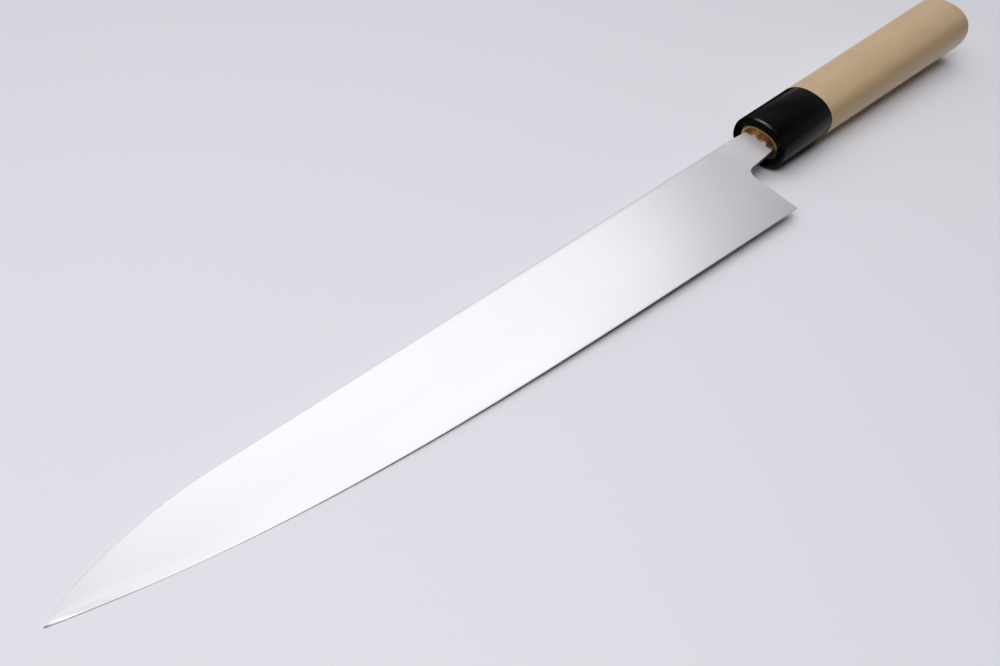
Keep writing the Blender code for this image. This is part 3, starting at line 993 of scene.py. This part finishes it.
def build_floor():
    mesh = bpy.data.meshes.new("floor")
    corners = [(-1.0, -1.0), (1.0, -1.0), (1.0, 1.0), (-1.0, 1.0)]
    points = [(x * FLOOR_REACH, y * FLOOR_REACH, 0.0) for x, y in corners]
    mesh.from_pydata(points, [], [(0, 1, 2, 3)])
    mesh.materials.append(floor_material())
    floor = bpy.data.objects.new("floor", mesh)
    bpy.context.scene.collection.objects.link(floor)


def softbox(name, x, y, width, height, radiance):
    """A rectangular lamp that looks down on the table."""
    data = bpy.data.lights.new(name, "AREA")
    data.shape = "RECTANGLE"
    data.size = width
    data.size_y = height
    data.energy = radiance * math.pi * width * height
    data.color = LAMP_COLOUR
    lamp = bpy.data.objects.new(name, data)
    lamp.location = (x, y, LAMP_HEIGHT)
    lamp.rotation_euler = (0.0, 0.0, LAMP_TURN)
    bpy.context.scene.collection.objects.link(lamp)


def room_colour(level):
    return tuple(level * part for part in ROOM_COLOUR)


def build_world():
    """A room whose bright cap leans over beyond the spine, and that is black at the horizon."""
    world = bpy.data.worlds.new("studio")
    bpy.context.scene.world = world
    world.use_nodes = True
    tree = world.node_tree
    towards = tree.nodes.new("ShaderNodeTexCoord")
    cosine = tree.nodes.new("ShaderNodeVectorMath")
    cosine.operation = "DOT_PRODUCT"
    cosine.inputs[1].default_value = Vector(ROOM_BRIGHT_SIDE).normalized()
    tree.links.new(towards.outputs["Generated"], cosine.inputs[0])
    room = tree.nodes.new("ShaderNodeValToRGB")
    fill_ramp(room, [(position, room_colour(level)) for position, level in ROOM_LEVELS])
    tree.links.new(cosine.outputs["Value"], room.inputs["Fac"])

    # The backdrop is pale to the eye and in gloss, and casts no light on matt things
    path = tree.nodes.new("ShaderNodeLightPath")
    seen = path.outputs["Is Camera Ray"]
    for kind in ("Is Glossy Ray", "Is Transmission Ray"):
        either = tree.nodes.new("ShaderNodeMath")
        either.operation = "MAXIMUM"
        tree.links.new(seen, either.inputs[0])
        tree.links.new(path.outputs[kind], either.inputs[1])
        seen = either.outputs[0]
    backdrop = tree.nodes.new("ShaderNodeMix")
    backdrop.data_type = "RGBA"
    backdrop.blend_type = "LIGHTEN"
    tree.links.new(seen, backdrop.inputs[MIX_SHARE])
    tree.links.new(room.outputs["Color"], backdrop.inputs[MIX_FIRST])
    backdrop.inputs[MIX_SECOND].default_value = opaque(room_colour(BACKDROP_LEVEL))
    tree.links.new(backdrop.outputs[MIX_RESULT], tree.nodes["Background"].inputs["Color"])


def build_camera():
    data = bpy.data.cameras.new("camera")
    data.sensor_width = SENSOR_WIDTH
    data.lens = SENSOR_WIDTH * FOCAL_SHARE
    data.clip_start = CAMERA_CLIP_START
    data.shift_x = -CAMERA_SHIFT
    data.shift_y = CAMERA_SHIFT
    camera = bpy.data.objects.new("camera", data)
    bpy.context.scene.collection.objects.link(camera)
    forward = Vector((math.sin(CAMERA_YAW) * math.cos(CAMERA_PITCH),
                      math.cos(CAMERA_YAW) * math.cos(CAMERA_PITCH),
                      -math.sin(CAMERA_PITCH)))
    level = Vector((math.cos(CAMERA_YAW), -math.sin(CAMERA_YAW), 0.0))
    upward = level.cross(forward)
    right = level * math.cos(CAMERA_ROLL) + upward * math.sin(CAMERA_ROLL)
    up = upward * math.cos(CAMERA_ROLL) - level * math.sin(CAMERA_ROLL)
    turn = Matrix((right, up, -forward)).transposed().to_4x4()
    camera.matrix_world = knife @ Matrix.Translation(CAMERA_PLACE) @ turn
    bpy.context.scene.camera = camera


PIECES = [
    (build_blade, steel_material, "blade", "steel"),
    (build_ferrule, horn_material, "ferrule", "horn"),
    (build_handle, wood_material, "handle", "wood"),
    (build_resin, resin_material, "tang_seal", "resin"),
]
for build, make_material, node, slot_name in PIECES:
    piece = build(make_material())
    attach(piece, "root")
    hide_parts(node)

build_floor()
build_world()
build_camera()
softbox("blade_softbox", x=0.129, y=0.430, width=1.33, height=0.62, radiance=1.06)
softbox("key_softbox", x=-0.559, y=-0.083, width=1.29, height=0.434, radiance=3.15)
bpy.context.scene.view_settings.view_transform = "Standard"
